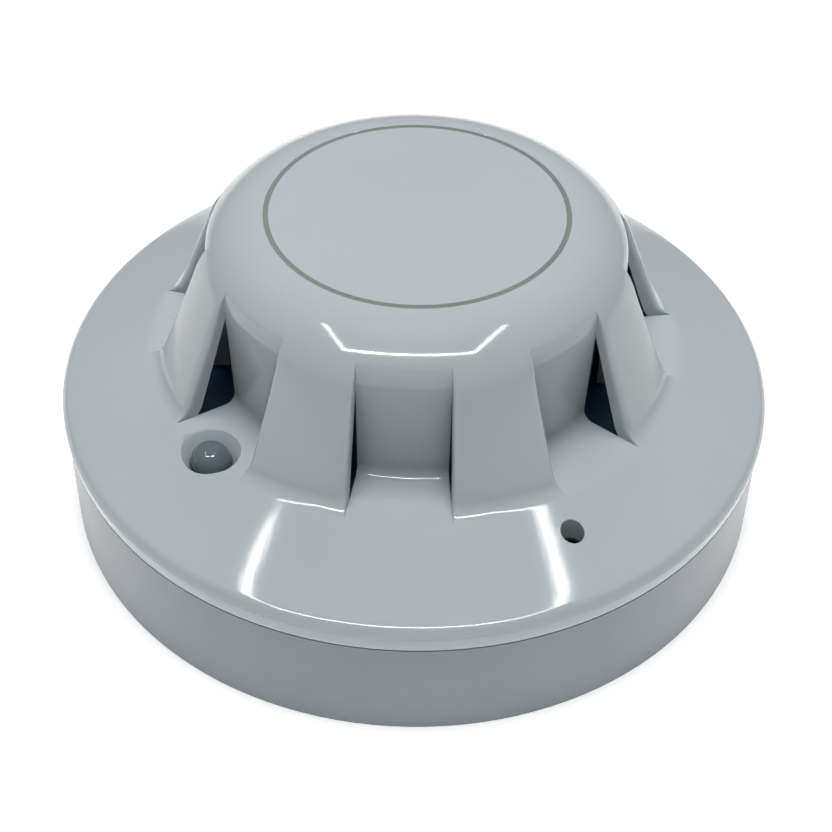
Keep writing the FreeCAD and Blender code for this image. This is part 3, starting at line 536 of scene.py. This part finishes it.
# ------------------------------------------------------------ small head pieces
ring = lathe("top_ring_inlay", [(RING_IN + 0.01, TOP_Z - 0.3), (RING_OUT - 0.01, TOP_Z - 0.3),
                                (RING_OUT - 0.01, TOP_Z - 0.05), (RING_IN + 0.01, TOP_Z - 0.05)],
             "ring_grey", "head")
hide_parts("top_ring")

pipe_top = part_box("light_pipe")[1].z / MM
pipe_profile = [(0.0, 17.6), (2.1, 17.6), (2.1, 18.1), (PIPE_R, 18.1)]
pipe_profile += arc((0.0, pipe_top - PIPE_R), PIPE_R, 0.0, 90.0, 18)
pipe_profile[-1] = (0.0, pipe_top)
pipe = lathe("indicator_dome", pipe_profile, "clear_pipe", "head", at=led_at, steps=96, smooth=50.0)
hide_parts("light_pipe")

# ------------------------------------------------------------ camera and lights
FLOOR_REACH = 6.0                       # metres each way
FLOOR_PAINTED_LIGHT = (0.34, 0.20)               # emission at the foot of the piece and further out; the stronger emission at the foot is painted light that fills in the piece's cast shadow on the floor
FLOOR_PAINTED_LIGHT_FADE = (0.050, 0.080)        # distance from the axis over which the painted light fades
CAMERA_LENS = 67.93
CAMERA_AT = (0.007832, -0.169219, 0.1679)
CAMERA_TURN = (46.615, -0.804, 3.299)   # degrees
LAMP_AIM = (0, 0, 0.02)                 # middle of the piece
SOFT_SIZE = (0.4, 0.4)
WORLD_STRENGTH = 0.110

floor_mesh = bpy.data.meshes.new("floor")
floor_corners = [(x * FLOOR_REACH, y * FLOOR_REACH, 0) for x, y in ((-1, -1), (1, -1), (1, 1), (-1, 1))]
floor_mesh.from_pydata(floor_corners, [], [(0, 1, 2, 3)])
floor = bpy.data.objects.new("floor", floor_mesh)
bpy.context.scene.collection.objects.link(floor)
floor.location.z = -0.0001   # just below the mounting face
# white floor with painted light: its emission is strongest at the foot of the piece, where it fills in
# the cast shadow, and falls to an even glow further out
floor_white_painted_light = material("floor_white_painted_light", (0.93, 0.93, 0.93), (0.95, 0.95, 0.95), (0.8, 0.9), patch=3,
                       Emission_Color=(1, 1, 1, 1))
# painted pool of light: emission fades with distance from the axis, from the foot of the piece outward
painted_light_tree = floor_white_painted_light.node_tree
painted_light_place = painted_light_tree.nodes.new("ShaderNodeTexCoord")
painted_light_reach = painted_light_tree.nodes.new("ShaderNodeVectorMath")
painted_light_reach.operation = "LENGTH"
painted_light_fade = painted_light_tree.nodes.new("ShaderNodeMapRange")
for end in (0, 1):
    painted_light_fade.inputs[("From Min", "From Max")[end]].default_value = FLOOR_PAINTED_LIGHT_FADE[end]
    painted_light_fade.inputs[("To Min", "To Max")[end]].default_value = FLOOR_PAINTED_LIGHT[end]
painted_light_tree.links.new(painted_light_place.outputs["Object"], painted_light_reach.inputs[0])
painted_light_tree.links.new(painted_light_reach.outputs["Value"], painted_light_fade.inputs["Value"])
painted_light_tree.links.new(painted_light_fade.outputs["Result"],
                    painted_light_tree.nodes["Principled BSDF"].inputs["Emission Strength"])
floor_mesh.materials.append(floor_white_painted_light)

camera_data = bpy.data.cameras.new("camera")
camera_data.lens = CAMERA_LENS
camera_data.sensor_width = 36.0
camera = bpy.data.objects.new("camera", camera_data)
camera.location = CAMERA_AT
camera.rotation_euler = [math.radians(angle) for angle in CAMERA_TURN]
bpy.context.scene.collection.objects.link(camera)
bpy.context.scene.camera = camera


def area_light(name, position, target, size, power, along=None):
    """Rectangular lamp facing the target; its long side follows along, when given."""
    data = bpy.data.lights.new(name, "AREA")
    data.shape = "RECTANGLE"
    data.size, data.size_y = size
    data.energy = power
    light = bpy.data.objects.new(name, data)
    back = (Vector(position) - Vector(target)).normalized()
    if along is None:
        turn = back.to_track_quat("Z", "Y")
    else:
        side = (Vector(along) - back * back.dot(Vector(along))).normalized()
        turn = Matrix((side, back.cross(side), back)).transposed().to_quaternion()
    light.location = position
    light.rotation_euler = turn.to_euler()
    bpy.context.scene.collection.objects.link(light)
    return light


def bar_light(name, start, end, width, power):
    """Thin lamp between two points, facing the piece, which shows only in reflections."""
    middle = (Vector(start) + Vector(end)) / 2
    along = Vector(end) - Vector(start)
    lamp = area_light(name, middle, LAMP_AIM, (along.length, width), power, along)
    lamp.visible_diffuse = False


# name, place in metres and power in watts; these light the piece without showing in it
SOFT_LAMPS = [
    ("overhead", (0, 0, 0.9), 7.68),
    ("soft_front", (0, -0.62, 0.65), 0.68),
    ("soft_back", (0, 0.62, 0.65), 1.69),
]
for name, position, power in SOFT_LAMPS:
    soft = area_light(name, position, LAMP_AIM, SOFT_SIZE, power)
    soft.visible_glossy = False
bar_light("bar_left", (-0.303, 0.02, 0.70), (-0.35, -0.36, 0.70), 0.022, 0.58)
bar_light("bar_right", (0.281, 0.08, 0.70), (0.31, -0.33, 0.70), 0.026, 0.67)
bar_light("bar_front", (-0.35, -0.38, 0.70), (0.31, -0.335, 0.70), 0.012, 4.50)

world = bpy.data.worlds.new("studio")
bpy.context.scene.world = world
world.use_nodes = True
world.node_tree.nodes["Background"].inputs["Color"].default_value = (0.97, 0.98, 1.0, 1)
world.node_tree.nodes["Background"].inputs["Strength"].default_value = WORLD_STRENGTH
bpy.context.scene.view_settings.view_transform = "Standard"
